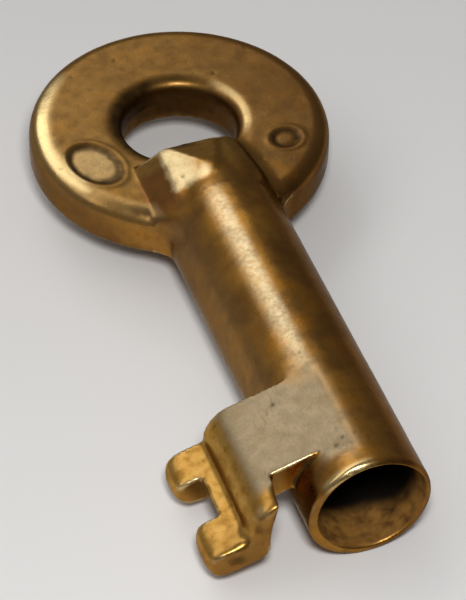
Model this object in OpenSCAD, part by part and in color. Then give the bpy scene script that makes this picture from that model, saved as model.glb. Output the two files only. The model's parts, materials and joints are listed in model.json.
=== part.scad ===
// Railroad switch key: a round bow with a stem, a hollow barrel and a bent, notched bit.
// Millimetres. The barrel lies along Y, with its open mouth at the origin and the bow at the far end.
// The bow is level and the bit points to -X, drooping a little below the bow's plane.

/* [Barrel] */
// Outside diameter of the barrel
barrel_d = 9.9; // [8:0.1:14]
// Length of the barrel, from its mouth to the shoulder of the bow's stem
barrel_len = 30; // [24:0.5:60]
// Thickness of the wall around the bore that goes over the post in the lock
barrel_wall = 0.8; // [0.7:0.05:2]
// Depth of the bore, from the mouth to its flat bottom
bore_depth = 22; // [14:0.5:23]
// Rounding of the rim at the mouth, outside
mouth_round = 0.45; // [0.1:0.05:0.5]
// Countersink at the mouth, inside
mouth_chamfer = 0.15; // [0.05:0.05:0.2]

/* [Bow] */
// Diameter of the bow
bow_d = 25.4; // [22:0.2:40]
// Thickness of the bow
bow_t = 4.4; // [3.5:0.1:6]
// Rounding of the bow's outer edge
bow_edge_r = 1.4; // [0.3:0.1:1.6]
// Diameter of the hole for a ring or a chain
ring_hole_d = 9.7; // [6:0.1:11]
// Rounding of the hole's edges
hole_edge_r = 0.9; // [0.2:0.1:1.4]
// Fillet between the bow's rim and the neck, seen from above
neck_fillet_r = 3; // [1:0.1:5]

/* [Neck] */
// Length of the neck between the barrel's end and the start of its taper
neck_len = 2.8; // [2:0.1:8]
// Diameter of the tapered head where it reaches the hole
head_end_d = 7.9; // [6:0.1:9]
// Reach of the head's foot beside the neck, on the bit's side
foot_reach = 0.8; // [0.2:0.1:1.5]
// Slope of the head's worn end towards the hole, in degrees
end_slope = 13.2; // [10:0.2:18]
// Tilt of the head's worn end towards the bit, in degrees
end_tilt = 1; // [0:0.5:6]
// Diameter of the rounded front of the pad on the head, seen from above
pad_d = 5.4; // [4:0.1:6]
// Tilt of the pad towards the bit, in degrees
pad_tilt = 21; // [15:0.5:26]
// Thickness of the barrel around the stem that plugs its rear
socket_wall = 1.45; // [1:0.05:2.5]

/* [Bit] */
// Length of the bit along the barrel
bit_len = 11.1; // [9:0.1:16]
// Reach of the bit, from the barrel's axis to the tips of its prongs
bit_reach = 12.9; // [12:0.1:18]
// Droop of the bit below the plane of the bow, in degrees
bit_droop = 17.5; // [0:0.5:30]
// Thickness of the bit's plate and of its ledge
bit_t = 2.65; // [2:0.05:3.2]
// Depth of the flat that carries the bit's top face onto the barrel
flat_depth = 0.18; // [0.1:0.02:0.3]
// Drop from the top face to the ledge
ledge_drop = 2.37; // [1.5:0.05:2.8]
// Radius of the shoulder that turns down to the ledge
shoulder_r = 2.85; // [2.6:0.05:3.2]
// Length of the ledge, from the shoulder to the tips
ledge_len = 3.7; // [3:0.1:6]
// Lean of the web under the shoulder, in degrees from upright
web_lean = 30; // [20:1:36]
// Thickness of the web, measured along the top face
web_t = 3.45; // [3:0.05:4]
// Width of the notch between the prongs
notch_w = 4; // [2:0.1:5]
// Depth of the notch between the prongs
notch_depth = 2.45; // [1:0.05:2.9]
// Width of the prong beside the mouth
front_prong_w = 3.85; // [2.5:0.05:4.5]
// Rounding of the prongs' corners, seen from above
prong_r = 1.1; // [0.3:0.05:1.5]
// Rounding of the prongs' tips, seen from the mouth
tip_r = 1.2; // [0.3:0.05:1.5]
// Depth of the slot beside the barrel, from the mouth
slot_depth = 3.3; // [1:0.1:5]

/* [Fit] */
// Gap between the stem and its socket, for the brazing
stem_gap = 0.03; // [0.01:0.01:0.1]

/* [Hidden] */
$fn = 96;

// Overlap of cutting tools past the surface that they cut
over = 1;

// Barrel and bore
barrel_r = barrel_d / 2;
bore_r = barrel_r - barrel_wall;
stem_r = barrel_r - socket_wall;

// Bow: the head of the neck ends at the hole
bow_r = bow_d / 2;
hole_r = ring_hole_d / 2;
taper_y = barrel_len + neck_len;
// The neck laps the rim far enough for the taper to begin over the bow
rim_lap = 1;
bow_y = taper_y - rim_lap + bow_r;
hole_near_y = bow_y - hole_r;
taper_len = hole_near_y - taper_y;
taper_rate = (barrel_r - head_end_d / 2) / taper_len;
face_z = bow_t / 2;

// Fillet beside the neck: its circle touches the rim and a line just inside the neck
fillet_bite = 0.4;
fillet_x = barrel_r - fillet_bite + neck_fillet_r;
fillet_y = bow_y - sqrt(pow(bow_r + neck_fillet_r, 2) - pow(fillet_x, 2));

// Foot of the head: a flank rises from the bow's face to a ridge, where the pad begins
foot_x = barrel_r + foot_reach;
ridge_share = 0.7;
ridge_x = ridge_share * barrel_r;
ridge_z = barrel_r - tan(pad_tilt) * ridge_x;

// Pad and worn end of the head: both begin on the taper, and the pad's far side runs out into it
pad_from = 1.7;
pad_y = taper_y + pad_from;
worn_from = 2.3;
worn_y = taper_y + worn_from;
run_out = 40;
run_x = sin(run_out) * head_end_d / 2;
run_z = cos(run_out) * head_end_d / 2;

// Bit, drawn in its own plane: reach away from the barrel, height above the axis
top_h = barrel_r - flat_depth;
under_h = top_h - bit_t;
ledge_h = top_h - ledge_drop;
ledge_under_h = ledge_h - bit_t;
shoulder_h = top_h - shoulder_r;
ledge_rise = ledge_h - shoulder_h;
shoulder_at = bit_reach - ledge_len - sqrt(pow(shoulder_r, 2) - pow(ledge_rise, 2));
web_top = shoulder_at + shoulder_r - web_t;
notch_at = bit_reach - notch_depth;
// Flat that is left between two roundings of a prong
tip_land = 0.1;

// Reach of the web's inner face at a given height
function web_at(h) = web_top + (top_h - h) * tan(web_lean);

// Profile of the bow, beside its axis: a bar with rounded edges inside and out
module bow_section() {
  inner_flat = hole_r + hole_edge_r;
  outer_flat = bow_r - bow_edge_r;
  translate([inner_flat, -face_z]) square([outer_flat - inner_flat, bow_t]);
  translate([hole_r, hole_edge_r - face_z]) square([hole_edge_r + over, bow_t - 2 * hole_edge_r]);
  translate([outer_flat - over, bow_edge_r - face_z]) square([bow_edge_r + over, bow_t - 2 * bow_edge_r]);
  for (side = [-1, 1]) {
    translate([inner_flat, side * (face_z - hole_edge_r)]) circle(hole_edge_r);
    translate([outer_flat, side * (face_z - bow_edge_r)]) circle(bow_edge_r);
  }
}

// Outline of the web that rounds off the corner between the bow's rim and the neck
module fillet_plan() {
  difference() {
    polygon([[0, bow_y], [-fillet_x, fillet_y], [0, fillet_y]]);
    translate([-fillet_x, fillet_y]) circle(neck_fillet_r);
  }
}

// Web between the bow's rim and the neck, clear of the rounding of the bow's faces
module neck_fillet() {
  web_h = bow_t - bow_edge_r;
  translate([0, 0, -web_h / 2])
    linear_extrude(web_h)
      fillet_plan();
}

// Round bar along Y, from one place on the axis to another
module bar_y(r1, r2, from_y, to_y) {
  translate([0, from_y, 0])
    rotate([-90, 0, 0])
      cylinder(r1 = r1, r2 = r2, h = to_y - from_y);
}

// Bar along Y with a drawn cross-section, which ends at the hole
module head_bar(length) {
  translate([0, hole_near_y, 0])
    rotate([90, 0, 0])
      linear_extrude(length)
        children();
}

// Fuller foot of the head on the bit's side, from the hole's edge to the bow's rim
module head_foot() {
  intersection() {
    head_bar(bow_r)
      polygon([[-foot_x, 0], [-foot_x, face_z], [-ridge_x, ridge_z], [0, ridge_z], [0, 0]]);
    linear_extrude(barrel_d) {
      translate([0, bow_y]) circle(bow_r);
      fillet_plan();
    }
  }
}

// Outline of the pad on the head, with its rounded front
module pad_plan() {
  translate([-ridge_x / 2, pad_y + pad_d / 2]) {
    circle(d = pad_d);
    translate([-pad_d / 2, 0]) square([pad_d + over, bow_r]);
  }
}

// Bar along Y that fills the pad's outline
module pad_bar() {
  intersection() {
    head_bar(hole_near_y - pad_y) children();
    linear_extrude(barrel_d) pad_plan();
  }
}

// Head of the neck: a taper that runs to the hole, with a flat pad on it
module head() {
  pad_low_z = barrel_r - tan(pad_tilt) * foot_x;
  head_over = hole_r;
  difference() {
    bar_y(barrel_r, barrel_r - taper_rate * (taper_len + head_over), taper_y, hole_near_y + head_over);
    pad_bar() polygon([[-foot_x, pad_low_z], [0, barrel_r], [0, barrel_d], [-foot_x, barrel_d]]);
  }
  pad_bar() polygon([[-ridge_x, 0], [-ridge_x, ridge_z], [0, barrel_r], [run_x, run_z], [run_x, 0]]);
}

// Worn end of the head, which slopes down to the hole but stays above the bow's face
module head_wear() {
  intersection() {
    translate([0, worn_y, barrel_r])
      rotate([-end_slope, -end_tilt, 0])
        translate([-barrel_d, 0, 0]) cube([2 * barrel_d, taper_len, barrel_d]);
    translate([-barrel_r, barrel_len, face_z]) cube([barrel_d, bow_d, barrel_d]);
  }
}

// Bow with the neck and the stem that plugs the barrel
module bow() {
  color("darkgoldenrod")
    difference() {
      union() {
        translate([0, bow_y, 0]) rotate_extrude() bow_section();
        neck_fillet();
        mirror([1, 0, 0]) neck_fillet();
        bar_y(barrel_r, barrel_r, barrel_len, taper_y);
        head();
        head_foot();
        bar_y(stem_r - stem_gap, stem_r - stem_gap, bore_depth, barrel_len + over);
      }
      translate([0, bow_y, -barrel_d]) cylinder(r = hole_r, h = 2 * barrel_d);
      head_wear();
    }
}

// Barrel: a drilled tube with a rounded mouth and a flat that runs on from the bit's top face
module barrel() {
  rim_land = 0.1;
  rim_r = min(mouth_round, barrel_wall - mouth_chamfer - rim_land);
  color("peru")
    difference() {
      rotate([-90, 0, 0])
        rotate_extrude() {
          translate([0, rim_r]) square([barrel_r, barrel_len - rim_r]);
          square([barrel_r - rim_r, rim_r + over]);
          translate([barrel_r - rim_r, rim_r]) circle(rim_r);
        }
      bar_y(bore_r, bore_r, -over, bore_depth);
      bar_y(stem_r, stem_r, bore_depth - over, barrel_len + over);
      bar_y(bore_r + mouth_chamfer + over, bore_r, -over, mouth_chamfer);
      rotate([0, -bit_droop, 0])
        translate([-barrel_r, -over, top_h]) cube([barrel_d, bit_len + over, barrel_r]);
    }
}

// Cross-section of the bit, seen from the mouth
module bit_section() {
  r = min(tip_r, bit_t / 2 - tip_land);
  mirror([1, 0])
    difference() {
      union() {
        translate([0, ledge_under_h]) square([shoulder_at, top_h - ledge_under_h]);
        intersection() {
          translate([shoulder_at, shoulder_h]) circle(shoulder_r);
          translate([shoulder_at - over, ledge_under_h]) square([shoulder_r + 2 * over, top_h - ledge_under_h]);
        }
        translate([shoulder_at, ledge_under_h]) square([bit_reach - r - shoulder_at, bit_t]);
        translate([shoulder_at, ledge_under_h + r]) square([bit_reach - shoulder_at, bit_t - 2 * r]);
        for (h = [ledge_under_h + r, ledge_h - r])
          translate([bit_reach - r, h]) circle(r);
      }
      polygon([[-over, under_h], [web_at(under_h), under_h],
               [web_at(ledge_under_h - over), ledge_under_h - over], [-over, ledge_under_h - over]]);
    }
}

// Outline of one prong with its part of the plate, seen from above
module prong_plan(from_y, to_y) {
  r = min(prong_r, (to_y - from_y) / 2 - tip_land);
  translate([0, from_y]) square([bit_reach - r, to_y - from_y]);
  translate([0, from_y + r]) square([bit_reach, to_y - from_y - 2 * r]);
  for (y = [from_y + r, to_y - r])
    translate([bit_reach - r, y]) circle(r);
}

// Outline of the bit, seen from above
module bit_plan() {
  mirror([1, 0]) {
    square([notch_at, bit_len]);
    prong_plan(0, front_prong_w);
    prong_plan(front_prong_w + notch_w, bit_len);
  }
}

// Room that the slot beside the barrel takes out of the plate
module slot_section() {
  mirror([1, 0])
    polygon([[-over, under_h - over], [web_at(under_h - over), under_h - over],
             [web_at(top_h + over), top_h + over], [-over, top_h + over]]);
}

// Bit: a bent plate, saddled on the barrel, with a ledge, two prongs and a slot
module bit() {
  color("goldenrod")
    rotate([0, -bit_droop, 0])
      difference() {
        intersection() {
          translate([0, bit_len, 0]) rotate([90, 0, 0]) linear_extrude(bit_len) bit_section();
          translate([0, 0, -bit_reach]) linear_extrude(2 * bit_reach) bit_plan();
        }
        translate([0, slot_depth, 0]) rotate([90, 0, 0]) linear_extrude(slot_depth + over) slot_section();
        bar_y(barrel_r, barrel_r, -over, bit_len + over);
      }
}

bow();
barrel();
bit();
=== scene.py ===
# %% [markdown]
# # A worn brass switch key
#
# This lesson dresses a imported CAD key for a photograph. The CAD holds the exact pieces: a bow with its
# neck, a hollow barrel and a bent bit. A hundred years in pockets and locks have rounded every edge of
# the real key, hidden the joints between its pieces and left brown tarnish wherever nothing rubs. Those
# are made here.

# %% Load the frame
import json
import math

import bmesh
import bpy
import numpy as np
from mathutils import Matrix, Vector


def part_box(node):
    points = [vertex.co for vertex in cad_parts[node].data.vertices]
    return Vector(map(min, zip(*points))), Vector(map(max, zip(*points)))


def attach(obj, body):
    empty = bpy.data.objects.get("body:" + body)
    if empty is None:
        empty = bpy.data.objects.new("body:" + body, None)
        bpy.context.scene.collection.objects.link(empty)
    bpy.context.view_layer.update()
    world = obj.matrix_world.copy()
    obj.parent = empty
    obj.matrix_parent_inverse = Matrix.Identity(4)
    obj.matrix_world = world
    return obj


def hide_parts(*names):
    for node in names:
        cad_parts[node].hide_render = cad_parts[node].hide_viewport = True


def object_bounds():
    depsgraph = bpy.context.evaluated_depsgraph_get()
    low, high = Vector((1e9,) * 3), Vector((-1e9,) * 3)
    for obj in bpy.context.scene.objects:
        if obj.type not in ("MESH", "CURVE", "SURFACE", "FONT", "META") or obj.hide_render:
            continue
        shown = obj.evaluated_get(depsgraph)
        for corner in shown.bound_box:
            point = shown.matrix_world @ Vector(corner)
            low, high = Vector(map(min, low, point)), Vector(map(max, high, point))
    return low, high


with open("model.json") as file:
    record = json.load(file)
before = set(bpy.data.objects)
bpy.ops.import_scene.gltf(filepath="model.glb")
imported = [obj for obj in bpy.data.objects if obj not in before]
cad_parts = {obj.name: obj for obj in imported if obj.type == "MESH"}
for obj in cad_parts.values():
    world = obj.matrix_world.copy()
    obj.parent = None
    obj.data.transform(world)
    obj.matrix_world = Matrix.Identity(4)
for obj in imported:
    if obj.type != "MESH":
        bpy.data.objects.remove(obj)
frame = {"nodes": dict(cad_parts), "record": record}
cad_low, cad_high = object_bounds()
MM = 0.001
print("CAD box in mm:", [round(v / MM, 2) for v in (*cad_low, *cad_high)])

# %% [markdown]
# ## Camera
#
# A camera could be placed by eye, but on a small key seen from so near every degree of error shows. This
# one was found by matching the bow's circle, the hole, the barrel's two sides and the mouth with the
# photograph. A long lens fits best, because the picture was taken from about 20 cm away and cropped. The
# photograph is taller than wide, so the sensor's 36 mm run along its tall side.

# %% Set up the camera
CAMERA_AT = Vector((-63.35, -137.65, 166.41)) * MM
CAMERA_AZIMUTH = -20.64
CAMERA_ELEVATION = 43.84
CAMERA_ROLL = 1.52
LENS = 180
SENSOR = 36
NEAREST_SEEN = 10 * MM


def towards(azimuth, elevation):
    """Unit vector from the key to a place, in degrees; azimuth 0 is the side where the mouth is."""
    turn, rise = math.radians(azimuth), math.radians(elevation)
    return Vector((math.sin(turn) * math.cos(rise), -math.cos(turn) * math.cos(rise), math.sin(rise)))


def facing(back):
    """Turn that makes a camera or a lamp look along -back, with its top upwards."""
    return (-back).to_track_quat("-Z", "Y").to_matrix().to_4x4()


scene = bpy.context.scene
scene.view_settings.view_transform = "Standard"
camera = bpy.data.objects.new("camera", bpy.data.cameras.new("camera"))
scene.collection.objects.link(camera)
scene.camera = camera
camera.data.lens = LENS
camera.data.sensor_width = SENSOR
camera.data.clip_start = NEAREST_SEEN
roll = Matrix.Rotation(math.radians(CAMERA_ROLL), 4, "Z")
look = facing(towards(CAMERA_AZIMUTH, CAMERA_ELEVATION))
camera.matrix_world = Matrix.Translation(CAMERA_AT) @ look @ roll
print("camera stands", round(CAMERA_AT.length / MM), "mm from the mouth")

# %% [markdown]
# ## One casting
#
# On the real key no seam shows between the bow, the barrel and the bit, because the joints are brazed and
# filed over. A bevel on each piece would leave a groove at every joint. So copies of the three CAD pieces
# are joined, a voxel remesh turns them into one skin of small quads, and a few rounds of smoothing wear
# its edges down. Later the skin is parted along the joints again, so that each piece still stands for its
# own CAD node.

# %% Join and remesh the CAD pieces
PIECES = ("bow", "barrel", "bit")
VOXEL = 0.15 * MM
MERGE = 0.002 * MM
EDGE_ROUNDS = 5


def merged_copy(mesh):
    """Copy of a CAD mesh with its loose triangles joined up."""
    bm = bmesh.new()
    bm.from_mesh(mesh)
    bmesh.ops.remove_doubles(bm, verts=bm.verts, dist=MERGE)
    copy = bpy.data.meshes.new("merged")
    bm.to_mesh(copy)
    bm.free()
    return copy


def new_object(name, mesh):
    """Object at the origin that shows a mesh."""
    made = bpy.data.objects.new(name, mesh)
    scene.collection.objects.link(made)
    return made


def settle(obj):
    """Turns what an object's modifiers make into its plain mesh."""
    graph = bpy.context.evaluated_depsgraph_get()
    mesh = bpy.data.meshes.new_from_object(obj.evaluated_get(graph))
    obj.modifiers.clear()
    obj.data = mesh
    return mesh


joined = bmesh.new()
for node in PIECES:
    joined.from_mesh(merged_copy(frame["nodes"][node].data))
casting = new_object("casting", bpy.data.meshes.new("casting"))
joined.to_mesh(casting.data)
joined.free()
remesh = casting.modifiers.new("skin", "REMESH")
remesh.mode = "VOXEL"
remesh.voxel_size = VOXEL
remesh.use_smooth_shade = True
smooth = casting.modifiers.new("worn edges", "SMOOTH")
smooth.iterations = EDGE_ROUNDS
skin = settle(casting)
print("skin:", len(skin.vertices), "points,", len(skin.polygons), "faces")

# %% [markdown]
# ## Tools for the skin
#
# Wear could be sculpted by hand, but a lesson should give the same key every time. So the skin's points
# are read into arrays, moved by rules in millimetres and written back. A ramp, which is a smooth step
# from 0 to 1, says how strongly a rule holds at each point, so that no rule ends in a crease. The bit
# droops below the bow's plane, so it has axes of its own.

# %% Axes of the bit
BIT_DROOP = math.radians(17.5)
BIT_UP = np.array([-math.sin(BIT_DROOP), 0, math.cos(BIT_DROOP)])
BIT_OUT = np.array([-math.cos(BIT_DROOP), 0, -math.sin(BIT_DROOP)])


def on_bit(reach, along, height):
    """Place on the bit in millimetres: reach from the barrel's axis, along it, and height above it."""
    return reach * BIT_OUT + height * BIT_UP + np.array([0, along, 0])


print("the bit points towards", BIT_OUT.round(3))


# %% Read and write the skin's points
def read_points(mesh):
    """Places in millimetres and normals of a mesh's points."""
    found = []
    for kind in ("co", "normal"):
        values = np.empty(len(mesh.vertices) * 3)
        mesh.vertices.foreach_get(kind, values)
        found.append(values.reshape(-1, 3))
    return found[0] / MM, found[1]


def write_points(mesh, places):
    """Moves a mesh's points to places in millimetres."""
    mesh.vertices.foreach_set("co", places.ravel() * MM)
    mesh.update()


def read_pairs(mesh):
    """Pairs of neighbouring points."""
    pairs = np.empty(len(mesh.edges) * 2, dtype=int)
    mesh.edges.foreach_get("vertices", pairs)
    return pairs.reshape(-1, 2)


pairs = read_pairs(skin)
places, normals = read_points(skin)
print("pairs of neighbours:", len(pairs))


# %% Blurs and ramps
def near_mean(values, pairs):
    """Mean of each point's neighbours."""
    count = len(values)
    total = np.zeros(count)
    for a, b in ((0, 1), (1, 0)):
        total += np.bincount(pairs[:, a], weights=values[pairs[:, b]], minlength=count)
    return total / np.maximum(np.bincount(pairs.ravel(), minlength=count), 1)


def blurred(values, pairs, rounds):
    """Values evened out over their neighbours."""
    for _ in range(rounds):
        values = near_mean(values, pairs)
    return values


def ramp(values, low, high):
    """Smooth step from 0 at low to 1 at high."""
    share = np.clip((values - low) / (high - low), 0, 1)
    return share * share * (3 - 2 * share)


def within(values, start, full, fade, end):
    """1 from full to fade, falling smoothly to 0 at start and at end."""
    return ramp(values, start, full) * (1 - ramp(values, fade, end))


print("a ramp half way up:", ramp(0.5, 0, 1))

# %% [markdown]
# ## Head and prongs
#
# The head is the faceted end of the neck on the bow. On the real key its foot runs down into the barrel's
# round without a step, its right side stands out further than the plain taper of the CAD, and the bit's
# two prongs reach a little further out. A sculpting brush could do this, but for shifts of some tenths of
# a millimetre a rule is surer: on the head the points are scaled towards the barrel's axis or away from
# it, and on the prongs they are pushed outwards.

# %% Shape the head and the prongs
FACE = 2.2  # height of the bow's face above its middle plane
BARREL_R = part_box("barrel")[1].x / MM
BARREL_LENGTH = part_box("barrel")[1].y / MM
BIT_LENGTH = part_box("bit")[1].y / MM
# A pair is a ramp: where a rule starts to hold, and where it holds fully
FOOT_LEFT, FOOT_RIGHT = (-6.4, -6.0), -3
FOOT_LOW = (1.3, 1.7)
FOOT_RUN = (0.6, 3.6)
SIDE_OUT = 0.6
SIDE_LEFT, SIDE_RIGHT = (1.2, 2.8), 5.2
SIDE_LOW = (0.04, 0.35)
SIDE_NEAR, SIDE_FAR = (33.0, 36.0), 42
PRONG_OUT = 0.2
PRONG_REACH = (9.5, 12.5)
SLACK = 0.1


def run_down(places):
    """Lets the foot of the head sink into the barrel's round below the bow's rim."""
    x, y, z = places.T
    foot = ramp(x, *FOOT_LEFT) * (x < FOOT_RIGHT) * ramp(z, *FOOT_LOW) * (y > BARREL_LENGTH)
    sink = foot * (1 - ramp(y - BARREL_LENGTH, *FOOT_RUN))
    return 1 - sink * np.clip(1 - BARREL_R / np.hypot(x, z), 0, 1)


def fill_side(places):
    """Lets the head stand out further on its right side, where its taper is less."""
    x, y, z = places.T
    on_side = ramp(x, *SIDE_LEFT) * (x < SIDE_RIGHT) * ramp(z - FACE, *SIDE_LOW)
    on_side *= ramp(y, *SIDE_NEAR) * (y < SIDE_FAR)
    return 1 + on_side * SIDE_OUT / np.maximum(np.hypot(x, z), FACE)


def scale_from_axis(places, by):
    """Moves points away from the barrel's axis, or towards it where the factor is below 1."""
    places[:, 0] *= by
    places[:, 2] *= by


scale_from_axis(places, run_down(places))
scale_from_axis(places, fill_side(places))
beside_bit = places[:, 1] < BIT_LENGTH + SLACK
places += (PRONG_OUT * beside_bit * ramp(places @ BIT_OUT, *PRONG_REACH))[:, None] * BIT_OUT
print("longest reach of the prongs:", round((places @ BIT_OUT).max(), 2), "mm")

# %% [markdown]
# ## Places that hands have worn
#
# Some places are worn far rounder than the rest: the prongs, the bit's front corner, the head's edges and
# both edges of the ring hole. A wider bevel would need clean edges to start from, and a remeshed skin has
# none. So each worn place is a line in millimetres, and the points near it are drawn towards their
# neighbours again and again. The ring hole's edges are worn in the same way, along a circle.

# %% Lines of wear
BOW_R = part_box("bow")[1].x / MM
BOW_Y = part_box("bow")[1].y / MM - BOW_R
HOLE_R = frame["record"]["mounts"][1]["dims"]["r_mm"]
HOLE_ROUND, HOLE_ROUNDS = 1.7, 60
# Each line has its start, its end, the width that it wears and how many times
WORN_LINES = (
    # Ends of the prongs, the foot's front corner, an edge of the notch and the ledge's front edge
    (on_bit(12.6, 1.9, 1.0), on_bit(12.6, 1.9, 1.0), 2.6, 40),
    (on_bit(12.6, 9.4, 1.0), on_bit(12.6, 9.4, 1.0), 2.6, 40),
    (on_bit(10.5, 0, -0.4), on_bit(10.5, 0, -0.4), 2.6, 60),
    (on_bit(10.6, 6.6, 1.5), on_bit(12.8, 6.6, 1.5), 1.1, 40),
    (on_bit(10.6, 0, 1.5), on_bit(12.8, 0, 1.5), 1.3, 40),
    # Front edge of the bit's web
    (on_bit(6.0, 0, 4.6), on_bit(8.4, 0, 3.4), 2.6, 110),
    # Foot of the head, its lower left corner, the edges of its pad and the spur under the pad
    (np.array([-5.1, 32.5, 1.6]), np.array([-4.6, 31.0, 2.0]), 1.4, 160),
    (np.array([-5.4, 33.9, 2.2]), np.array([-4.2, 33.4, 3.0]), 0.9, 60),
    (np.array([-0.4, 35.6, 4.8]), np.array([0.3, 36.3, 4.6]), 0.9, 40),
    (np.array([-3.4, 35.1, 3.6]), np.array([-1.6, 34.5, 4.4]), 0.8, 30),
    (np.array([-1.6, 34.5, 4.4]), np.array([0.2, 35.0, 4.9]), 0.8, 30),
    (np.array([-3.5, 33.3, 3.6]), np.array([-3.3, 34.1, 3.7]), 0.8, 50),
    # Right shoulder of the head, and its corner with the bow's face
    (np.array([3.0, 36.0, 4.2]), np.array([3.0, 36.0, 4.2]), 2.2, 80),
    (np.array([3.9, 40.4, 2.3]), np.array([4.4, 34.0, 2.3]), 1.2, 120),
    # Far end of the bit's flat on the barrel
    (on_bit(0, 11.2, 4.8), on_bit(0, 11.2, 4.8), 1.8, 60),
)
print("worn lines:", len(WORN_LINES))

# %% Wear the soft places
PULL = 0.5
TINY = 1e-6


def from_line(places, start, end):
    """Distance of each place from the line between two places."""
    line = end - start
    share = np.clip((places - start) @ line / max(line @ line, TINY), 0, 1)
    return np.linalg.norm(places - start - share[:, None] * line, axis=1)


def wear(places, pairs, gap, width, rounds):
    """Draws the points whose gap is less than a width towards their neighbours, most where it is small."""
    share = PULL * ramp(width - gap, 0, width / 2)
    few = pairs[share[pairs].max(axis=1) > 0]
    used, few = np.unique(few, return_inverse=True)
    few = few.reshape(-1, 2)
    part, weight = places[used], share[used][:, None]
    for _ in range(rounds):
        middle = np.stack([near_mean(part[:, axis], few) for axis in range(3)], axis=1)
        part = part + weight * (middle - part)
    places[used] = part


unworn = places.copy()
for start, end, width, rounds in WORN_LINES:
    wear(places, pairs, from_line(places, start, end), width, rounds)
for side in (1, -1):
    from_edge = np.hypot(places[:, 0], places[:, 1] - BOW_Y) - HOLE_R
    wear(places, pairs, np.hypot(from_edge, places[:, 2] - side * FACE), HOLE_ROUND, HOLE_ROUNDS)
print("deepest wear:", round(np.linalg.norm(places - unworn, axis=1).max(), 2), "mm")

# %% [markdown]
# ## Rubbed edge of the bow
#
# On the bit's side the bow's edge is rubbed to a soft, shallow facet that catches the light. Cutting it with
# a plane would leave a hard line, so the points that stand above a slope are let down onto it, less and less
# round the bow, and worn a few times more. How far each point fell is kept, because the facet is painted
# pale as well, partly as polish and partly as a painted highlight.

# %% Rub down the bow's edge
RUB_WIDTH = 1.75
RUB_START = 0.2
RUB_TILT = math.radians(17)
RUB_TOWARDS = math.radians(172)
RUB_SPAN = (0.45, 0.97)
RUB_LOWEST = 0.5
RUB_ROUNDS = 8
RUB_LIFT = 0.22
RUB_FULL = 0.06

from_middle = np.hypot(places[:, 0], places[:, 1] - BOW_Y)
turn = np.arctan2(places[:, 1] - BOW_Y, places[:, 0])
from_rim = BOW_R - from_middle
over = np.maximum(RUB_WIDTH - from_rim, 0)
slope = FACE - math.tan(RUB_TILT) * over**2 / (over + RUB_START)
beside = ramp(np.cos(turn - RUB_TOWARDS), *RUB_SPAN)
on_edge = (beside > 0) & (from_rim > -SLACK) & (places[:, 2] < FACE + SLACK) & (places[:, 2] > RUB_LOWEST)
fall = np.maximum(places[:, 2] - slope - RUB_LIFT * (1 - beside), 0) * on_edge
places[:, 2] -= fall
from_facet = np.abs(from_rim - RUB_WIDTH / 2) + (1 - beside) * RUB_WIDTH
wear(places, pairs, np.where(on_edge, from_facet, RUB_WIDTH), RUB_WIDTH, RUB_ROUNDS)
# Painted highlight: the facet is painted pale by how far it fell, partly as polish and partly as the
# windows' reflection
facet_polish_and_highlight = blurred(ramp(fall, 0.0, RUB_FULL), pairs, RUB_ROUNDS)
print("deepest rub:", round(fall.max(), 2), "mm")

# %% [markdown]
# ## End of the flat, and the bore
#
# The flat on top of the bit runs out on the barrel's crown and short of the mouth, so the outer part of
# its cut is filled up to the barrel's round again. The bore was drilled a little off the middle, which
# leaves the rim at the mouth thicker on one side, and the lock's post has worn it wider at the mouth,
# like a shallow bell. A new solid for each would be exact, but such small shifts are quicker on the
# skin's points.

# %% Fill the flat's end and shift the bore
MOUTH_ROUND = 0.45
MOUTH_EDGE = (0.05, 0.3)
FLAT_NEAR = (1.6, 2.8)
CROWN = (0.4, 1.3)
CUT_DEPTH = (-0.35, -0.25)
BORE_R = frame["record"]["mounts"][0]["dims"]["r_mm"]
BORE_DEPTH, BORE_END = 22, 1
BORE_OFF = np.array([0.14, 0, 0.12])
BORE_WALL = (BORE_R + 0.1, BARREL_R - 0.15)
BELL, BELL_DEPTH = 0.14, 8

from_axis = np.hypot(places[:, 0], places[:, 2])
into_round = np.maximum(MOUTH_ROUND - np.maximum(places[:, 1], 0), 0)
full_r = BARREL_R - MOUTH_ROUND + np.sqrt(MOUTH_ROUND**2 - into_round**2)
filled = np.maximum(ramp(-(places @ BIT_OUT), *CROWN), 1 - ramp(places[:, 1], *FLAT_NEAR))
filled *= ramp(from_axis - full_r, *CUT_DEPTH) * ramp(places[:, 1], *MOUTH_EDGE)
filled *= places[:, 1] < BARREL_LENGTH
scale_from_axis(places, 1 + filled * np.maximum(full_r / from_axis - 1, 0))

from_axis = np.hypot(places[:, 0], places[:, 2])
bore_wall = (1 - ramp(from_axis, *BORE_WALL)) * (places[:, 1] < BORE_DEPTH - BORE_END)
bell = bore_wall * BELL * (1 - ramp(places[:, 1], 0, BELL_DEPTH))
scale_from_axis(places, 1 + bell / np.maximum(from_axis, BORE_R))
places += bore_wall[:, None] * BORE_OFF
print("bore off the middle:", round(np.linalg.norm(BORE_OFF), 2), "mm")

# %% [markdown]
# ## Punch marks
#
# Such keys are struck with small punches on the bow's face. The marks here are plain ones, worn nearly
# flat: an oval and a round dimple, with no letters. A bump in the material would show no shape in the
# mesh, so the points are moved. A punch pushes metal down under its face and up beside it, so each mark
# is a shallow dish with a groove along its edge and a low rim around it.

# %% Strike the punch marks
MARK_DEPTH = 0.13
RIM_SHARE, DISH_SHARE, GROOVE_SHARE = 0.3, 0.5, 0.6
RIM_AWAY = 1.8
MARK_FACE = (-0.5, -0.3)


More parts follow.
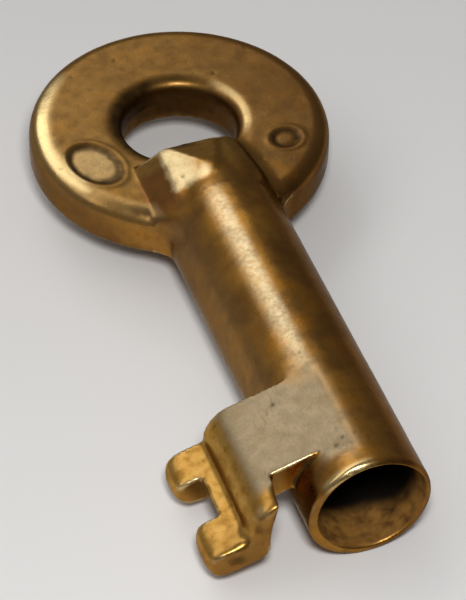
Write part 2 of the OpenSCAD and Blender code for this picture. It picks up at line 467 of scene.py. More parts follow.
def strike(centre, radii, turn, edge):
    """Presses a plain oval dish into the bow's face, in millimetres and degrees; gives its edge and dish."""
    x, y = places[:, 0] - centre[0], places[:, 1] - centre[1]
    c, s = math.cos(math.radians(turn)), math.sin(math.radians(turn))
    reach = np.hypot((c * x + s * y) / radii[0], (c * y - s * x) / radii[1])
    outside = (reach - 1) * min(radii)
    groove = np.exp(-((outside / edge) ** 2))
    rim = np.exp(-(((outside - RIM_AWAY * edge) / edge) ** 2))
    dish = 1 - ramp(outside, -edge, edge)
    on_face = ramp(places[:, 2] - FACE, *MARK_FACE)
    places[:, 2] += (RIM_SHARE * rim - DISH_SHARE * dish - GROOVE_SHARE * groove) * MARK_DEPTH * on_face
    return groove * on_face, dish * on_face


oval, oval_dish = strike((-8.4, 41.3), (2.5, 1.75), 112, 0.24)
dimple, _ = strike((7.75, 39.5), (1.05, 0.95), 20, 0.26)
marks = np.sqrt(np.maximum(oval, dimple))
write_points(skin, places)
print("points in the marks' edges:", int((marks > 0.5).sum()))

# %% [markdown]
# ## Measuring the worn skin
#
# Wear and dirt follow the shape: edges that stand out are rubbed bright, and corners that lie deep stay
# dark. They could be painted on by hand, but then they would stay behind when the shape changes. Here it
# is measured how sharply the skin bends at every point, by comparing the point with the middle of its
# neighbours, and where on the key the point lies. The next cells turn these measures into named values
# from 0 to 1 on the points, which the material reads.

# %% Measure the skin
BEND_ROUNDS = 3
BIT_END = 0.3
ON_ROUND = (-0.4, -0.3)
MOUTH = (0.6, 1.2)


def bends(places, normals, pairs):
    """How sharply the skin bends at each point, per millimetre: above 0 on edges, below in corners."""
    middle = np.stack([near_mean(places[:, axis], pairs) for axis in range(3)], axis=1)
    out = -((middle - places) * normals).sum(axis=1) * (MM / VOXEL) ** 2
    return blurred(out, pairs, BEND_ROUNDS)


def keep(mesh, name, *shares):
    """Stores the greatest of some shares at each point under a name."""
    values = np.clip(np.maximum.reduce(shares), 0, 1)
    stored = mesh.attributes.new(name, "FLOAT", "POINT")
    stored.data.foreach_set("value", values.astype(np.float32))
    print(name, "covers", round(100 * float(values.mean()), 1), "% of the skin")


places, normals = read_points(skin)
x, along, z = places.T
height, reach = places @ BIT_UP, places @ BIT_OUT
tilt = np.degrees(np.arctan2(-x, z))
from_hole = np.hypot(x, along - BOW_Y) - HOLE_R
upright = 1 - ramp(np.abs(normals[:, 2]), 0.2, 0.6)
bend = bends(places, normals, pairs)
by_bit = 1 - ramp(along, BIT_LENGTH - BIT_END, BIT_LENGTH + BIT_END)
by_mouth = 1 - ramp(along, *MOUTH)
before_flat = 1 - ramp(along, *FLAT_NEAR)
on_barrel = ramp(from_axis - BARREL_R, *ON_ROUND)
past_barrel = along > BARREL_LENGTH
print("sharpest bend:", round(bend.max(), 2), "per mm")

# %% [markdown]
# ## Flat, prongs and crest
#
# Three places have a finish of their own. The bit's flat is ground dull and grey, and it fades out in a
# slant on the barrel. The ledge and the prongs slide in the lock, which keeps them golden. Along the
# barrel's crest a narrow, pale streak is painted: partly film rubbed thin, partly a painted highlight where
# the windows reflect. Each could be a material of its own with a hard border; as a value on the points it
# fades softly.

# %% Keep the flat, the gilt prongs and the crest's painted highlight
BIT_TOP = 4.77
FLAT_FACES = (0.86, 0.99)
FLAT_LEVEL = (-0.5, -0.2)
FLAT_REACH = (-2.0, -0.2)
FADE, FADE_MORE, FADE_REACH = 0.3, 1.7, (0.8, 2.4)
GILT_REACH, GILT_FRONT = (6.0, 7.4), (5.0, 5.6)
CREST_TILT, CREST_RIGHT, CREST_LEFT = 12, 10, 20

fade = FADE + FADE_MORE * (1 - ramp(reach, *FADE_REACH))
flat_top = ramp(normals @ BIT_UP, *FLAT_FACES) * ramp(height - BIT_TOP, *FLAT_LEVEL)
flat_top *= ramp(reach, *FLAT_REACH) * (1 - before_flat)
flat_top *= 1 - ramp(along, BIT_LENGTH - fade, BIT_LENGTH + fade)

ledge = ramp(reach, *GILT_REACH) * (1 - 0.4 * before_flat)
gilt = by_bit * np.maximum(ledge, 0.6 * before_flat * ramp(reach, *GILT_FRONT))
gilt *= (1 - flat_top) * (1 - 0.6 * ramp(-normals[:, 1], 0.5, 0.9))

# Painted highlight: the pale streak lies where the windows reflect on the crest; it is faint beside the bit
# and stronger behind it
crest = within(tilt, CREST_TILT - CREST_RIGHT, CREST_TILT, CREST_TILT, CREST_TILT + CREST_LEFT)
crest *= within(along, 0.8, 1.6, 31, 34) * on_barrel
behind_bit = 0.55 * ramp(along, BIT_LENGTH - 1, BIT_LENGTH) + 0.3 * ramp(along, BIT_LENGTH, BIT_LENGTH + 6)
crest *= 0.15 + behind_bit
keep(skin, "flat_top", flat_top)
keep(skin, "gilt", gilt)
keep(skin, "crest", crest)

# %% [markdown]
# ## Bare and polished edges, and painted highlights
#
# Edges that stand out lose their film first, less so at the mouth. The pad, a facet on the head, is rubbed
# bare where a thumb rests, and is painted pale as a highlight as well, weaker towards its upper right. A
# pale rubbed line along the bend of the bit's shoulder is partly a painted highlight. Some places are
# painted pale as polish: inside the oval mark it is polish; on the bow's facet, along its lower left edge
# and on top of the mouth's lip it is partly polish and partly a painted highlight; on the right lip of the
# ring hole it is a painted highlight. An edge mask from bends alone would miss these, so each has a rule of
# its own.

# %% Keep the rubbed and polished places and the painted highlights
PAD_FROM, PAD_LOW = 34.6, (3.3, 3.6)
PAD_TILT = math.radians(21)
PAD_UP = np.array([-math.sin(PAD_TILT), 0, math.cos(PAD_TILT)])
PAD_FACES = (0.955, 0.99)
PAD_ROUNDS = 8
RUBBED_BEND = (0.12, 0.5)
BAND_TOWARDS = math.radians(207)
HOLE_TOWARDS = math.radians(6)

# Painted highlight: the pad is pale as rubbed metal and as the windows' reflection, weaker towards its upper
# right
pad_rub_and_highlight = ramp(normals @ PAD_UP, *PAD_FACES) * ramp(along, PAD_FROM - 0.3, PAD_FROM) * ramp(z, *PAD_LOW)
pad_rub_and_highlight *= 1 - 0.6 * ramp(x, -2.6, -0.6) * ramp(along, 35.2, 36.0)
pad_rub_and_highlight = blurred(pad_rub_and_highlight, pairs, PAD_ROUNDS)
on_lip = by_mouth * (1 - ramp(from_axis - BARREL_R, 0, 0.3) * by_mouth)
edges = ramp(bend, *RUBBED_BEND) * (1 - 0.75 * on_lip) * (1 - 0.5 * gilt) * (1 - 0.5 * before_flat)
# Painted highlight: a pale line along the bend of the bit's shoulder
shoulder_rub_and_highlight = by_bit * ramp(bend, 0.03, 0.12) * ramp(reach, 6.5, 7.5) * ramp(height, 3.4, 4.2)
keep(skin, "rubbed", edges, 0.3 * shoulder_rub_and_highlight, 0.75 * pad_rub_and_highlight)

# Painted highlight: pale polish along the bow's lower left edge, where the windows reflect
band_polish_and_highlight = within(from_rim, -0.1, 0.5, 1.5, 2.0) * ramp(np.cos(turn - BAND_TOWARDS), 0.55, 0.85)
band_polish_and_highlight *= within(z, 0.5, 1.0, FACE + 0.2, FACE + 0.4)
# Painted highlight: pale polish on the mouth's lip from its top to its upper left
lip_polish_and_highlight = (1 - ramp(along, 0.5, 0.9)) * ramp(from_axis - BARREL_R, -0.6, -0.3) * (from_axis < BARREL_R + SLACK)
lip_polish_and_highlight *= within(tilt, -5, 8, 42, 55)
# Painted highlight: pale polish on the right lip of the ring hole
hole_lip_highlight = within(from_hole, 0.35, 0.75, 1.0, 1.4) * ramp(np.cos(turn - HOLE_TOWARDS), 0.72, 0.92)
hole_lip_highlight *= (z > 0) * past_barrel
keep(skin, "polish", facet_polish_and_highlight, 0.3 * oval_dish, 0.18 * band_polish_and_highlight, 0.7 * lip_polish_and_highlight, 0.5 * hole_lip_highlight)

# %% [markdown]
# ## Grime and painted shade
#
# Dirt and old polish stay where no finger reaches: in the corners and in the grooves of the marks. The ring
# hole's wall is darkened, and the left of its upper edge is painted dark as shade. A few single stains and
# pits lie on the bit. Each of those is a ball with a soft border, because a noise can't put them where they
# are.

# %% Keep the grime and the painted shade
GRIME_BEND = (0.08, 0.4)
STAIN_SHARE = 0.75
STAINS = (
    # Two on the bit's front, one by the foot of its web, and three pits on its flat
    (np.array([-10.6, 0.0, -1.9]), 1.3),
    (np.array([-9.0, 0.0, 0.7]), 1.0),
    (np.array([-9.7, 5.0, -0.5]), 0.4),
    (on_bit(3.3, 9.3, BIT_TOP), 0.4),
    (on_bit(-0.3, 3.6, BIT_TOP), 0.4),
    (on_bit(0.4, 3.1, BIT_TOP), 0.45),
)

corners = ramp(-bend, *GRIME_BEND) * (1 - 0.6 * gilt)
in_hole = (1 - ramp(from_hole, 0.4, 1.2)) * (1 - ramp(z - FACE, -0.4, 0.1)) * past_barrel
# Painted shade: the left of the ring hole's upper edge is darkened
hole_edge_shade = (1 - ramp(from_hole, 0.6, 1.5)) * ramp(-x, -1.5, 2.0) * (z > 0) * past_barrel
stains = [1 - ramp(np.linalg.norm(places - spot, axis=1), 0, size) for spot, size in STAINS]
stained = STAIN_SHARE * np.maximum.reduce(stains)
keep(skin, "grime", corners, 0.9 * marks, 0.45 * in_hole, 0.95 * hole_edge_shade, stained)

# %% [markdown]
# ## Browned places, painted shade and reflection, and soot
#
# The film isn't the same all round. It is browner on the bow's edge, the bit's front and the head's left
# flank. Painted shade makes it darker brown on the barrel's right side, on the bow's right side and on the
# lower right lip of the mouth, where it dims a glint, and a painted reflection of the cloth makes it greyer
# on the barrel's left side. The bore is stained with oxide near the mouth and black with old grease further
# in, with a painted shadow of the mouth's rim that reaches further forward on the right, and the bow's right
# edge is darkened with painted shade as well. A noise would spread these tones anywhere, so each place is
# marked out by where it lies and which way it faces.

# %% Keep the browned places, the painted shade and reflection, and the soot
SOOT_DEEP, SHADOW_LEAN = (2.6, 4.6), 1.5
BORE_EDGE = (BORE_R + BELL, BORE_R + BELL + 0.2)

# Painted shade: the barrel's right side is darker
right_side_shade = ramp(-tilt, 5, 35) * (1 - ramp(along, 33, 37)) * on_barrel
on_right = ramp(x, 0, 9)
# The bow's edge is browner; painted shade makes its right side darker
bow_edge_and_right_shade = np.maximum((0.5 + 0.5 * on_right) * upright, 0.4 * on_right) * ramp(along, 33, 36)
bit_front = 0.6 * by_bit * ramp(reach, 6.0, 7.0) * ramp(-normals[:, 1], 0.3, 0.8)
flank = within(x, -6.3, -5.8, -3.7, -3.2) * ramp(z, 1.5, 1.9) * within(along, 32, 34, 37.5, 38.5)
# Painted shade: the mouth's lower right lip is darker, which dims its glint
low_lip_shade = by_mouth * ramp(x, 0, 2) * ramp(-z, -1, 1) * ramp(from_axis - BORE_R, 0, 0.2)
keep(skin, "browned", right_side_shade, bow_edge_and_right_shade, bit_front, flank, low_lip_shade)
# Painted reflection: the grey of the pale cloth on the barrel's left side
keep(skin, "greyed", ramp(tilt, 30, 60) * within(along, BIT_LENGTH, BIT_LENGTH + 1, 31, 34) * on_barrel)

from_bore = np.hypot(x - BORE_OFF[0], z - BORE_OFF[2])
in_bore = (1 - ramp(from_bore, *BORE_EDGE)) * ramp(along, 0.03, 0.3) * (along < BORE_DEPTH + BORE_END)
# Black grease deep in the bore, and a painted shadow of the mouth's rim that reaches further forward on the
# right
deep_soot_and_shadow = in_bore * ramp(along + SHADOW_LEAN * ramp(x, 1, 4), *SOOT_DEEP)
# Painted shade: the bow's right edge is darkened
rim_shade = 0.4 * ramp(x, 5, 6.5) * upright * ramp(along, 31.5, 33) * (from_rim < 2)
keep(skin, "in_bore", in_bore)
keep(skin, "soot", deep_soot_and_shadow, rim_shade)

# %% [markdown]
# ## Aged yellow brass
#
# The key is cast yellow brass. Bare brass is a pale gold mirror. Handling leaves a thin brown film on it
# that turns its reflections amber and softens them, and the film comes off again wherever the key rubs.
# Three materials would show a border between the pieces. One material mixes film and bare metal, with
# painted highlights, a painted reflection and painted shade, by the values kept on the skin.

# %% One helper for nodes
def add(tree, kind, inputs=(), **settings):
    """Adds a node; its inputs are given in order or by key, each as a socket to link or a fixed value."""
    made = tree.nodes.new(kind)
    for name, value in settings.items():
        setattr(made, name, value)
    for key, value in inputs.items() if isinstance(inputs, dict) else enumerate(inputs):
        if isinstance(value, bpy.types.NodeSocket):
            tree.links.new(value, made.inputs[key])
        else:
            made.inputs[key].default_value = value
    return made


# %% Helpers for materials
def colour(hex_code):
    """Linear colour of an sRGB hex value."""
    parts = [int(hex_code[i : i + 2], 16) / 255 for i in (1, 3, 5)]
    return (*[p / 12.92 if p <= 0.04045 else ((p + 0.055) / 1.055) ** 2.4 for p in parts], 1)


def per_mm(size):
    """Texture scale that gives features of a size in millimetres."""
    return 1 / (size * MM)


def new_material(name):
    """Material with a shader, its tree and an output."""
    made = bpy.data.materials.new(name)
    made.use_nodes = True
    tree = made.node_tree
    tree.nodes.clear()
    shader = add(tree, "ShaderNodeBsdfPrincipled")
    add(tree, "ShaderNodeOutputMaterial", {"Surface": shader.outputs[0]})
    return made, tree, shader


# %% [markdown]
# ## Patterns of the film
#
# Up close the film is uneven at several sizes: wide clouds, blotches of a few millimetres, a finer mottle,
# specks, and a grain like orange peel. Each is a noise with a size in millimetres. The mottle also breaks up
# the borders of the rubbed and the grimy places and of the painted highlights and shade, so that their
# borders look worn.
# On the bow the blotches are weaker, because it is handled more.

# %% Gather the patterns
KEPT = (
    "rubbed", "polish", "grime", "browned", "greyed", "flat_top", "gilt", "crest", "in_bore", "soot", "pit",
)
NOISES = (("clouds", 6, 3), ("blotch", 2.4, 4), ("mottle", 0.9, 4), ("grain", 0.22, 2), ("speck", 0.36, 2))
SCRATCH_TURN, SCRATCH_STRETCH, SCRATCH_SIZE = 0.6, (7, 0.9, 1), 1.4
BOW_FROM, BOW_FULL = 33 * MM, 38 * MM
CALM_ON_BOW = 0.25
UNEVEN = 0.8


def film_patterns(tree):
    """Sockets for the values kept on the skin and for the noises that break them up."""
    found = {"everywhere": 1.0}
    for name in KEPT:
        found[name] = add(tree, "ShaderNodeAttribute", attribute_name=name).outputs["Fac"]
    place = add(tree, "ShaderNodeTexCoord").outputs["Object"]
    for name, size, detail in NOISES:
        noise = {"Vector": place, "Scale": per_mm(size), "Detail": detail}
        found[name] = add(tree, "ShaderNodeTexNoise", noise).outputs["Fac"]
    # Real scratches are finer than a pixel, so these are drawn about 0.15 mm wide
    lines = {"Vector": place, "Rotation": (0, 0, SCRATCH_TURN), "Scale": SCRATCH_STRETCH}
    lines = add(tree, "ShaderNodeMapping", lines).outputs[0]
    scratch = {"Vector": lines, "Scale": per_mm(SCRATCH_SIZE), "Detail": 3}
    found["scratch"] = add(tree, "ShaderNodeTexNoise", scratch).outputs["Fac"]

    along = add(tree, "ShaderNodeSeparateXYZ", (place,)).outputs["Y"]
    found["on_bow"] = add(tree, "ShaderNodeMapRange", (along, BOW_FROM, BOW_FULL)).outputs[0]
    calm = (along, BOW_FROM, BOW_FULL, 1.0, CALM_ON_BOW)
    found["calm"] = add(tree, "ShaderNodeMapRange", calm).outputs[0]
    mottle = (found["mottle"], UNEVEN, -UNEVEN / 2)
    uneven = add(tree, "ShaderNodeMath", mottle, operation="MULTIPLY_ADD").outputs[0]
    for name, source in (("broken", "rubbed"), ("stuck", "grime")):
        found[name] = add(tree, "ShaderNodeMath", (found[source], uneven), operation="ADD").outputs[0]
    return found


# %% [markdown]
# ## Colour of the film
#
# The colour is built up in layers: first the film, darker and lighter in clouds, then one layer after
# another on top, as the real key got them, and among them painted highlights, a painted reflection and
# painted shade. Each layer has the place that it covers, how strongly it covers it, and its tone. A strength
# is a fixed share, or a noise mapped from two of its levels to two shares. A tone is one colour, or two that
# a noise mixes.

# %% Layers of the film
CLOUDS = (0.38, 0.62)
# Dark and light clouds, each on the barrel and on the bow
FILM_TONES = (("#875F28", "#805C2A"), ("#AB7A32", "#88642F"))
FILM_LAYERS = (
    # Amber and brown blotches, and small dark spots
    ("calm", ("blotch", 0.5, 0.34, 0.0, 0.6), "#B0741F"),
    ("calm", ("blotch", 0.5, 0.68, 0.0, 0.5), "#64401A"),
    ("everywhere", ("mottle", 0.52, 0.75, 0.0, 0.4), "#5C3E18"),
    # The film's painted grey reflection of the cloth, and its browned places, partly painted shade
    ("greyed", 0.5, "#7E6444"),
    ("browned", 0.6, "#643A1C"),
    # Golden prongs, with paler, dirty and flecked spots
    ("gilt", ("clouds", 0.35, 0.6, 0.95, 0.6), "#BA8A38"),
    ("gilt", ("mottle", 0.68, 0.34, 0.0, 0.35), "#C6A462"),
    ("gilt", ("mottle", 0.5, 0.7, 0.0, 0.4), "#7E561C"),
    ("gilt", ("speck", 0.6, 0.72, 0.0, 0.4), "#5E3E14"),
    # Pale streak on the barrel's crest, partly a painted highlight; bare edges, partly painted highlights;
    # and polished places, partly painted highlights
    ("crest", ("speck", 0.66, 0.4, 0.45, 0.85), "#D2BF96"),
    ("everywhere", ("broken", 0.15, 0.85, 0.0, 1.0), "#E3CB98"),
    ("polish", 0.95, "#E0C48A"),
    # Ground flat, with dull blotches and dark scratches
    ("flat_top", 1.0, ("grain", 0.35, 0.65, "#A39071", "#9B8867")),
    ("flat_top", ("blotch", 0.48, 0.62, 0.0, 0.3), "#7C6640"),
    ("flat_top", ("scratch", 0.64, 0.74, 0.0, 0.35), "#6E5A38"),
    # Pits of the casting, grime with painted shade at the ring hole, the bore's oxide, and soot with a
    # painted shadow and shade
    ("pit", 0.35, "#4A3214"),
    ("everywhere", ("stuck", 0.3, 1.0, 0.0, 0.85), "#33210E"),
    ("in_bore", 1.0, ("mottle", 0.38, 0.78, "#9A6E34", "#4A2F14")),
    ("soot", 1.0, "#0E0A06"),
)
print("layers on the film:", len(FILM_LAYERS))

# %% Colour from the layers
MIX_SHARE, MIX_FIRST, MIX_SECOND, MIXED = 0, 6, 7, 2  # sockets of a Mix node for colours


def cloudy_film(tree, on):
    """Brown film in two tones, each a little different on the barrel and on the bow."""
    tones = []
    for at_barrel, at_bow in FILM_TONES:
        ends = {MIX_SHARE: on["on_bow"], MIX_FIRST: colour(at_barrel), MIX_SECOND: colour(at_bow)}
        tones.append(add(tree, "ShaderNodeMix", ends, data_type="RGBA").outputs[MIXED])
    share = add(tree, "ShaderNodeMapRange", (on["clouds"], *CLOUDS)).outputs[0]
    film = {MIX_SHARE: share, MIX_FIRST: tones[0], MIX_SECOND: tones[1]}
    return add(tree, "ShaderNodeMix", film, data_type="RGBA").outputs[MIXED]


def layer_share(tree, on, place, strength):
    """How much a layer covers: its place times its strength."""
    if isinstance(strength, tuple):
        noise, *levels = strength
        strength = add(tree, "ShaderNodeMapRange", (on[noise], *levels)).outputs[0]
    return add(tree, "ShaderNodeMath", (on[place], strength), operation="MULTIPLY").outputs[0]


def layer_tone(tree, on, tone):
    """Colour of a layer: one tone, or two that a noise mixes."""
    if isinstance(tone, str):
        return colour(tone)
    noise, low, high, first, second = tone
    share = add(tree, "ShaderNodeMapRange", (on[noise], low, high)).outputs[0]
    ends = {MIX_SHARE: share, MIX_FIRST: colour(first), MIX_SECOND: colour(second)}
    return add(tree, "ShaderNodeMix", ends, data_type="RGBA").outputs[MIXED]


def film_colour(tree, on):
    """Brown film, bare metal where it is rubbed, dirt in the corners, and painted highlights, reflection and
    shade.
    """
    shade = cloudy_film(tree, on)
    for place, strength, tone in FILM_LAYERS:
        share = layer_share(tree, on, place, strength)
        mix = {MIX_SHARE: share, MIX_FIRST: shade, MIX_SECOND: layer_tone(tree, on, tone)}
        shade = add(tree, "ShaderNodeMix", mix, data_type="RGBA").outputs[MIXED]
    return shade


# %% [markdown]
# ## Gloss and grain
#
# The film has a satin gloss. It is duller on the flat, in grime, in pits and in the bore, and glossier
# where the metal is polished. The fine grain and the scratches are too small for the mesh, so they are a
# bump. The oxide in the bore is no metal, so the metallic value falls there.

# %% Aged brass
SATIN = (0.3, 0.7, 0.25, 0.36)
ROUGHER = (("flat_top", 0.14), ("polish", -0.1), ("grime", 0.2), ("in_bore", 0.25), ("pit", 0.2))
SCRATCHED, SCRATCH_DEPTH = (0.62, 0.72), -0.6
GRAIN_STRENGTH, GRAIN_DEPTH = 0.32, 0.02 * MM
METAL_IN_BORE = 0.25
EDGE_TINT = "#C0B8AC"
GREASE, GREASE_ROUGHNESS = 0.15, 0.25


def film_roughness(tree, on):
    """Satin film; scratched where the bit is flat, and dull in the bore."""
    rough = add(tree, "ShaderNodeMapRange", (on["mottle"], *SATIN)).outputs[0]
    for name, more in ROUGHER:
        rough = add(tree, "ShaderNodeMath", (on[name], more, rough), operation="MULTIPLY_ADD").outputs[0]
    return rough


def film_relief(tree, on):
    """Fine orange-peel grain everywhere, with scratches on the flat of the bit."""
    cut = add(tree, "ShaderNodeMapRange", (on["scratch"], *SCRATCHED)).outputs[0]
    cut = add(tree, "ShaderNodeMath", (cut, on["flat_top"]), operation="MULTIPLY").outputs[0]
    height = (cut, SCRATCH_DEPTH, on["grain"])
    height = add(tree, "ShaderNodeMath", height, operation="MULTIPLY_ADD").outputs[0]
    relief = {"Height": height, "Strength": GRAIN_STRENGTH, "Distance": GRAIN_DEPTH}
    return add(tree, "ShaderNodeBump", relief).outputs[0]


def aged_brass():
    """Cast yellow brass, browned by handling: amber reflections, pale gold where the film has worn off, and
    painted highlights, reflection and shade.
    """
    made, tree, shader = new_material("aged_yellow_brass")
    on = film_patterns(tree)
    tree.links.new(film_colour(tree, on), shader.inputs["Base Color"])
    tree.links.new(film_roughness(tree, on), shader.inputs["Roughness"])
    tree.links.new(film_relief(tree, on), shader.inputs["Normal"])
    bare = add(tree, "ShaderNodeMapRange", (on["in_bore"], 0.0, 1.0, 1.0, METAL_IN_BORE)).outputs[0]
    tree.links.new(bare, shader.inputs["Metallic"])
    # The film dims the metal's reflections at a low angle, which would be white on bare brass
    shader.inputs["Specular Tint"].default_value = colour(EDGE_TINT)
    # Grease of hands: a thin clear layer that greys the metal where it is seen at a low angle
    shader.inputs["Coat Weight"].default_value = GREASE
    shader.inputs["Coat Roughness"].default_value = GREASE_ROUGHNESS
    return made


brass = aged_brass()
print("material:", brass.name, "with", len(brass.node_tree.nodes), "nodes")

# %% [markdown]
# ## Cast skin
#
# A sand casting is never quite smooth: its surface swells a little over a few millimetres and has small
# pits where sand or gas lay in the mould. Hundreds of pits that follow a surface are work for Geometry
# Nodes. The tree moves each point along its normal by a wide noise, presses a pit into some cells of a
# Voronoi pattern, and keeps how deep each point lies in its pit for the material.

# %% Geometry Nodes tree for the cast skin
CAST_SIZES = {
    "Swell height": 0.02 * MM,
    "Swell width": 2.6 * MM,
    "Pit depth": 0.045 * MM,
    "Pit spacing": 0.85 * MM,
    "Pit share": 0.16,
    "Pit width": 0.3,
}
CAST_SEED = (0.031, 0.017, 0.043)


def cast_tree():
    """Tree that roughens a skin along its normals."""
    tree = bpy.data.node_groups.new("cast_skin", "GeometryNodeTree")
    tree.interface.new_socket("Geometry", in_out="INPUT", socket_type="NodeSocketGeometry")
    for name in CAST_SIZES:
        tree.interface.new_socket(name, in_out="INPUT", socket_type="NodeSocketFloat")
    tree.interface.new_socket("Seed", in_out="INPUT", socket_type="NodeSocketVector")
    tree.interface.new_socket("Material", in_out="INPUT", socket_type="NodeSocketMaterial")
    tree.interface.new_socket("Geometry", in_out="OUTPUT", socket_type="NodeSocketGeometry")
    given = add(tree, "NodeGroupInput").outputs
    place = add(tree, "GeometryNodeInputPosition").outputs[0]
    place = add(tree, "ShaderNodeVectorMath", (place, given["Seed"]), operation="ADD").outputs[0]

    often = add(tree, "ShaderNodeMath", (1.0, given["Swell width"]), operation="DIVIDE").outputs[0]
    swell = add(tree, "ShaderNodeTexNoise", {"Vector": place, "Scale": often, "Detail": 2.0}).outputs["Fac"]
    swell = add(tree, "ShaderNodeMapRange", (swell, 0.0, 1.0, -1.0, 1.0)).outputs[0]
    swell = add(tree, "ShaderNodeMath", (swell, given["Swell height"]), operation="MULTIPLY").outputs[0]

    often = add(tree, "ShaderNodeMath", (1.0, given["Pit spacing"]), operation="DIVIDE").outputs[0]
    cells = add(tree, "ShaderNodeTexVoronoi", {"Vector": place, "Scale": often}).outputs
    picked = (cells["Color"], given["Pit share"])
    picked = add(tree, "ShaderNodeMath", picked, operation="LESS_THAN").outputs[0]
    inside = {0: cells["Distance"], 1: 0.0, 2: given["Pit width"], 3: 1.0, 4: 0.0}
    inside = add(tree, "ShaderNodeMapRange", inside, interpolation_type="SMOOTHSTEP").outputs[0]
    pit = add(tree, "ShaderNodeMath", (inside, picked), operation="MULTIPLY").outputs[0]

    sunk = add(tree, "ShaderNodeMath", (pit, given["Pit depth"]), operation="MULTIPLY").outputs[0]
    lift = add(tree, "ShaderNodeMath", (swell, sunk), operation="SUBTRACT").outputs[0]
    normal = add(tree, "GeometryNodeInputNormal").outputs[0]
    move = add(tree, "ShaderNodeVectorMath", {0: normal, "Scale": lift}, operation="SCALE").outputs[0]
    kept = {"Geometry": given["Geometry"], "Name": "pit", "Value": pit}
    kept = add(tree, "GeometryNodeStoreNamedAttribute", kept, data_type="FLOAT", domain="POINT").outputs[0]
    moved = add(tree, "GeometryNodeSetPosition", {"Geometry": kept, "Offset": move}).outputs[0]
    real = add(tree, "GeometryNodeRealizeInstances", (moved,)).outputs[0]
    done = {"Geometry": real, "Material": given["Material"]}
    done = add(tree, "GeometryNodeSetMaterial", done).outputs[0]
    add(tree, "NodeGroupOutput", (done,))
    return tree


# %% Roughen the skin
roughen = casting.modifiers.new("cast skin", "NODES")
roughen.node_group = cast_tree()
settings = {**CAST_SIZES, "Seed": CAST_SEED, "Material": brass}
for socket in roughen.node_group.interface.items_tree:
    if socket.in_out == "INPUT" and socket.name in settings:
        roughen[socket.identifier] = settings[socket.name]
skin = settle(casting)
print("cast skin keeps:", sorted(a.name for a in skin.attributes if a.data_type == "FLOAT"))

# %% [markdown]
# ## Parting the skin
#
# The library wants each visible piece to stand for its own CAD node. A boolean cut would leave slivers
# along the joints, so the skin's faces are sorted by where they lie: past the barrel's end they belong to
# the bow, outside the barrel's round beside the mouth to the bit, and the rest to the barrel. Each part's
# open edge is closed with a cap, and marked sharp so that the cap doesn't shade the skin.

# %% Part the skin
SEAM_OUT = 0.1


def piece_at(centre):
    """Name of the piece that a place in millimetres belongs to."""
    if centre.y > BARREL_LENGTH:
        return "bow"
    outside = math.hypot(centre.x, centre.z) > BARREL_R + SEAM_OUT
    return "bit" if outside and centre.y < BIT_LENGTH + SEAM_OUT else "barrel"


def parted(name):
    """Closed mesh of the skin's faces that belong to one piece."""
    bm = bmesh.new()
    bm.from_mesh(skin)
    others = [face for face in bm.faces if piece_at(face.calc_center_median() / MM) != name]
    bmesh.ops.delete(bm, geom=others, context="FACES")
    rim = [edge for edge in bm.edges if edge.is_boundary]
    for edge in rim:
        edge.smooth = False
    bmesh.ops.triangle_fill(bm, edges=rim, use_beauty=True)
    bmesh.ops.recalc_face_normals(bm, faces=bm.faces)
    mesh = bpy.data.meshes.new("worn_" + name)
    bm.to_mesh(mesh)
    print(mesh.name, len(bm.faces), "faces, open edges:", sum(edge.is_boundary for edge in bm.edges))
    bm.free()
    return mesh


for node in PIECES:
    piece = new_object("worn_" + node, parted(node))
    piece.data.materials.clear()
    piece.data.materials.append(brass)
    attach(piece, "root")
    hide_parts(node)
bpy.data.objects.remove(casting)

# %% [markdown]
# ## Floor
#
# The key lies on a pale cloth. Its weave is left out, because the floor isn't part of the key: a large
# plain sheet at the height of the key's lowest point is enough.

# %% Lay the floor
FLOOR_SIZE = 3000 * MM
CLOTH_ROUGHNESS, CLOTH_GLOSS = 0.9, 0.2


def pale_cloth():
    """Pale woven cotton: matt and nearly white."""
    made, _, shader = new_material("pale_cotton_cloth")
    shader.inputs["Base Color"].default_value = colour("#DEDCDA")
    shader.inputs["Roughness"].default_value = CLOTH_ROUGHNESS
    shader.inputs["Specular IOR Level"].default_value = CLOTH_GLOSS
    return made


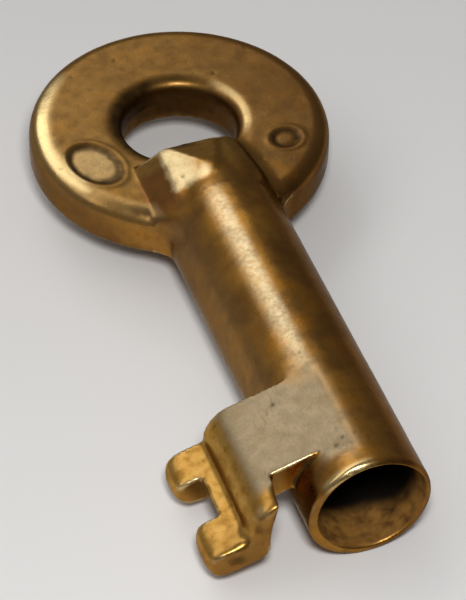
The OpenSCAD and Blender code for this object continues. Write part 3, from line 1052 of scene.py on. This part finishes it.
sheet = bmesh.new()
bmesh.ops.create_grid(sheet, size=FLOOR_SIZE / 2, matrix=Matrix.Translation((0, 0, cad_low.z)))
floor = new_object("floor", bpy.data.meshes.new("floor"))
sheet.to_mesh(floor.data)
sheet.free()
floor.data.materials.append(pale_cloth())
print("floor at", round(cad_low.z / MM, 2), "mm")

# %% [markdown]
# ## Light
#
# Polished metal shows its lights as shapes, so they were read from the reflections. A long, low rectangle
# behind the key and to the left, like a row of windows, makes the streak on the barrel, the bright edge of
# the bow and the sheen on the bit, which painted highlights brighten. A low window at the back lights the
# head's pad. A small lamp just above the camera, like a flash, lights the cloth and draws the edge of the
# shadow in the bore, which a painted shadow there follows. The room is brighter on the windows' side.

# %% Light the scene
LIGHT_AIM = Vector((0, 28, 0)) * MM
WINDOW_SIDE = 217
ROOM_DARK, ROOM_BRIGHT = 0.06, 0.36


def soft_light(name, azimuth, elevation, distance, size, radiance):
    """Rectangular lamp that faces the key, in degrees and millimetres."""
    lamp = bpy.data.lights.new(name, "AREA")
    lamp.shape = "RECTANGLE"
    lamp.size, lamp.size_y = size[0] * MM, size[1] * MM
    lamp.energy = radiance * math.pi * lamp.size * lamp.size_y
    made = bpy.data.objects.new(name, lamp)
    back = towards(azimuth, elevation)
    made.matrix_world = Matrix.Translation(LIGHT_AIM + back * distance * MM) @ facing(back)
    scene.collection.objects.link(made)
    print(name, "gives", round(lamp.energy, 2), "W")


soft_light("windows", WINDOW_SIDE, 52, 600, (1070, 220), 1.45)
soft_light("low window", 188, 34, 600, (150, 130), 2.2)
soft_light("front", -17.5, 52, 215, (38, 38), 67)
world = bpy.data.worlds.new("room")
scene.world = world
world.use_nodes = True
room = world.node_tree
sight = add(room, "ShaderNodeTexCoord").outputs["Generated"]
to_window = {0: sight, 1: towards(WINDOW_SIDE, 0)}
side = add(room, "ShaderNodeVectorMath", to_window, operation="DOT_PRODUCT").outputs["Value"]
level = add(room, "ShaderNodeMapRange", (side, -1.0, 1.0, ROOM_DARK, ROOM_BRIGHT)).outputs[0]
background = room.nodes["Background"]
background.inputs["Color"].default_value = colour("#FFFFFF")
room.links.new(level, background.inputs["Strength"])
